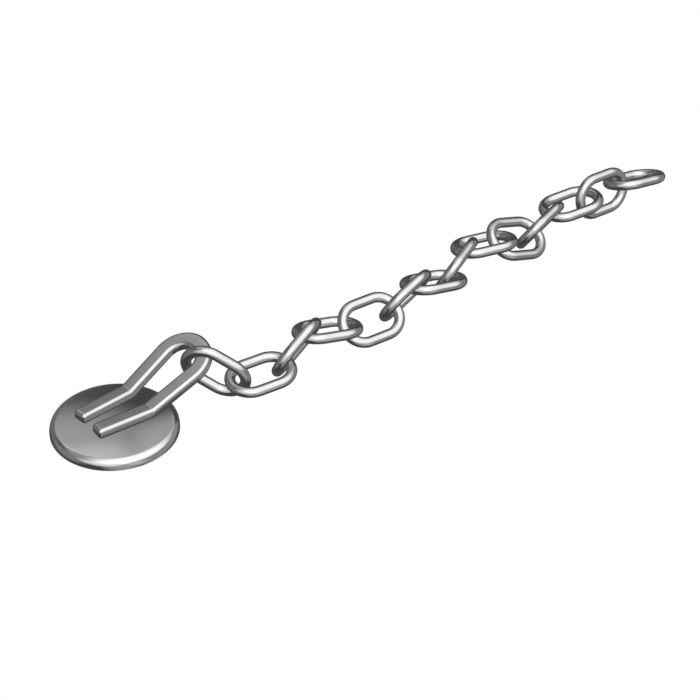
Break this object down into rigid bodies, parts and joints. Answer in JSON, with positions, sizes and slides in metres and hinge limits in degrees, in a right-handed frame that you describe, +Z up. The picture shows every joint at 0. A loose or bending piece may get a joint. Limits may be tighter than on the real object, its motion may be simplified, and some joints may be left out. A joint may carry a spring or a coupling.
{
  "type": "deck fill cap",
  "caption": "Round domed cap disc with a bent hairpin eye bar on its top face and a captive chain of oval wire links hung on the eye's arch.",
  "frame": {"origin": "centre of the disc's flat underside", "axes": "+Z up out of the domed top, +X from the disc's centre towards the eye's arch and on along the laid-out chain"},
  "size_m": [0.2824, 0.0517, 0.0254],
  "materials": {
    "disc_steel": "polished",
    "eye_steel": "polished",
    "chain_steel": "polished"
  },
  "bodies": {
    "cap": {"cap_disc": "disc_steel", "eye_bar": "eye_steel"},
    "link_01": {"chain_link_01": "chain_steel"},
    "link_02": {"chain_link_02": "chain_steel"},
    "link_03": {"chain_link_03": "chain_steel"},
    "link_04": {"chain_link_04": "chain_steel"},
    "link_05": {"chain_link_05": "chain_steel"},
    "link_06": {"chain_link_06": "chain_steel"},
    "link_07": {"chain_link_07": "chain_steel"},
    "link_08": {"chain_link_08": "chain_steel"},
    "link_09": {"chain_link_09": "chain_steel"},
    "link_10": {"chain_link_10": "chain_steel"},
    "link_11": {"chain_link_11": "chain_steel"},
    "link_12": {"chain_link_12": "chain_steel"},
    "link_13": {"chain_link_13": "chain_steel"},
    "link_14": {"chain_link_14": "chain_steel"}
  },
  "joints": [
    {"name": "link_01_swing", "type": "hinge", "parent": "cap", "child": "link_01", "pos_m": [0.03387, -0.00729, 0.01782], "axis": [0.7828, 0.5159, 0.3479], "range_deg": [-90, 80]},
    {"name": "link_02_swing", "type": "hinge", "parent": "link_01", "child": "link_02", "pos_m": [0.04425, -0.01841, 0.00948], "axis": [-0.034, 0.337, -0.9409], "range_deg": [-80, 90]},
    {"name": "link_03_swing", "type": "hinge", "parent": "link_02", "child": "link_03", "pos_m": [0.062, -0.02235, 0.01058], "axis": [-0.4261, -0.9011, -0.08], "range_deg": [-15, 90]},
    {"name": "link_04_swing", "type": "hinge", "parent": "link_03", "child": "link_04", "pos_m": [0.0773, -0.01223, 0.01035], "axis": [0.6812, -0.126, 0.7212], "range_deg": [-10, 90]},
    {"name": "link_05_swing", "type": "hinge", "parent": "link_04", "child": "link_05", "pos_m": [0.09336, -0.02225, 0.01236], "axis": [-0.716, -0.642, 0.274], "range_deg": [-90, 0]},
    {"name": "link_06_swing", "type": "hinge", "parent": "link_05", "child": "link_06", "pos_m": [0.11321, -0.01986, 0.01259], "axis": [-0.133, 0.803, 0.581], "range_deg": [-90, 90]},
    {"name": "link_07_swing", "type": "hinge", "parent": "link_06", "child": "link_07", "pos_m": [0.1276, -0.01361, 0.0086], "axis": [0.8533, -0.073, 0.5162], "range_deg": [-10, 85]},
    {"name": "link_08_swing", "type": "hinge", "parent": "link_07", "child": "link_08", "pos_m": [0.14319, -0.01159, 0.00836], "axis": [-0.8424, 0.5383, 0.024], "range_deg": [-5, 90]},
    {"name": "link_09_swing", "type": "hinge", "parent": "link_08", "child": "link_09", "pos_m": [0.15875, -0.00328, 0.00989], "axis": [-0.7511, -0.6221, 0.221], "range_deg": [-60, 0]},
    {"name": "link_10_swing", "type": "hinge", "parent": "link_09", "child": "link_10", "pos_m": [0.17125, -0.01598, 0.00921], "axis": [0.4192, -0.7333, -0.5352], "range_deg": [0, 90]},
    {"name": "link_11_swing", "type": "hinge", "parent": "link_10", "child": "link_11", "pos_m": [0.19286, -0.01233, 0.00782], "axis": [0.1221, -0.8294, -0.5452], "range_deg": [-90, 80]},
    {"name": "link_12_swing", "type": "hinge", "parent": "link_11", "child": "link_12", "pos_m": [0.20034, -0.01675, 0.01293], "axis": [-0.4721, 0.8761, -0.098], "range_deg": [-90, 0]},
    {"name": "link_13_swing", "type": "hinge", "parent": "link_12", "child": "link_13", "pos_m": [0.22165, -0.012, 0.01369], "axis": [0.3291, -0.9394, 0.096], "range_deg": [-80, 90]},
    {"name": "link_14_swing", "type": "hinge", "parent": "link_13", "child": "link_14", "pos_m": [0.2388, -0.01402, 0.01411], "axis": [-0.399, 0.176, 0.8999], "range_deg": [-90, 60]}
  ]
}
